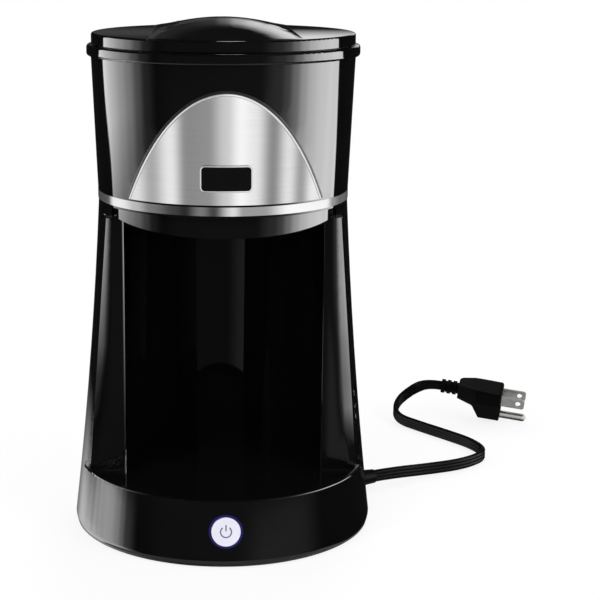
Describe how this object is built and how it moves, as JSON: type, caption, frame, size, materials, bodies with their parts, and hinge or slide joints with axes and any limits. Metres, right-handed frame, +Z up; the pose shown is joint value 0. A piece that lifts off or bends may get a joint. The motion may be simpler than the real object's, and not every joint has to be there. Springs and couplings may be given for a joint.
{
  "type": "drip coffee maker",
  "caption": "Round one-cup drip coffee maker with a hinged lid, brew basket over an open mug bay, front start button and a flat power cord.",
  "frame": {"origin": "on the surface it stands on, under the middle of the round body", "axes": "+Z up, -Y towards the front with the start button and the mug bay, +X to the right seen from the front"},
  "size_m": [0.2768, 0.2593, 0.264],
  "materials": {
    "gloss_black": "high gloss",
    "matte_black": "fine grain",
    "tank_grey": "smooth",
    "trim_steel": "fine upright brushing",
    "badge_black": "gloss, bare",
    "plain_steel": "plain",
    "mesh_steel": "woven",
    "button_white": "satin",
    "ring_violet": "clear, lit from behind",
    "board_green": "lacquered",
    "heater_metal": "as cast",
    "thermostat_brown": "moulded",
    "silicone": "translucent white",
    "valve_white": "smooth",
    "black_rubber": "satin",
    "plug_nickel": "nickel plated"
  },
  "bodies": {
    "machine": {"lower_housing": "gloss_black", "head_shell": "gloss_black", "visor": "gloss_black", "base_pan": "matte_black", "brew_basket": "matte_black", "filter_frame": "matte_black", "tact_switch": "matte_black", "water_tank": "tank_grey", "arch_plate": "trim_steel", "waist_band": "trim_steel", "badge_plate": "badge_black", "base_screws": "plain_steel", "hinge_pin": "plain_steel", "hose_clamps": "plain_steel", "heater_strap": "plain_steel", "filter_mesh": "mesh_steel", "light_ring": "ring_violet", "control_board": "board_green", "heater": "heater_metal", "thermal_fuse": "heater_metal", "thermostat": "thermostat_brown", "riser_hose": "silicone", "inlet_hose": "silicone", "feed_hose": "silicone", "standpipe_seal": "silicone", "check_valve": "valve_white", "rubber_feet": "black_rubber", "strain_relief": "black_rubber", "power_cord": "black_rubber", "plug_body": "black_rubber", "plug_blades": "plug_nickel", "ground_pin": "plug_nickel"},
    "lid": {"lid_cover": "gloss_black", "lid_liner": "matte_black", "shower_plate": "matte_black"},
    "button": {"start_button": "button_white", "switch_plunger": "button_white"}
  },
  "joints": [
    {"name": "lid_hinge", "type": "hinge", "parent": "machine", "child": "lid", "pos_m": [0, 0.0721, 0.2552], "axis": [-1, 0, 0], "range_deg": [0, 100]},
    {"name": "start_press", "type": "slide", "parent": "machine", "child": "button", "axis": [0, 1, 0], "range_m": [0, 0.0012], "stiffness_N_per_m": 1500, "springref_m": -0.0004}
  ]
}
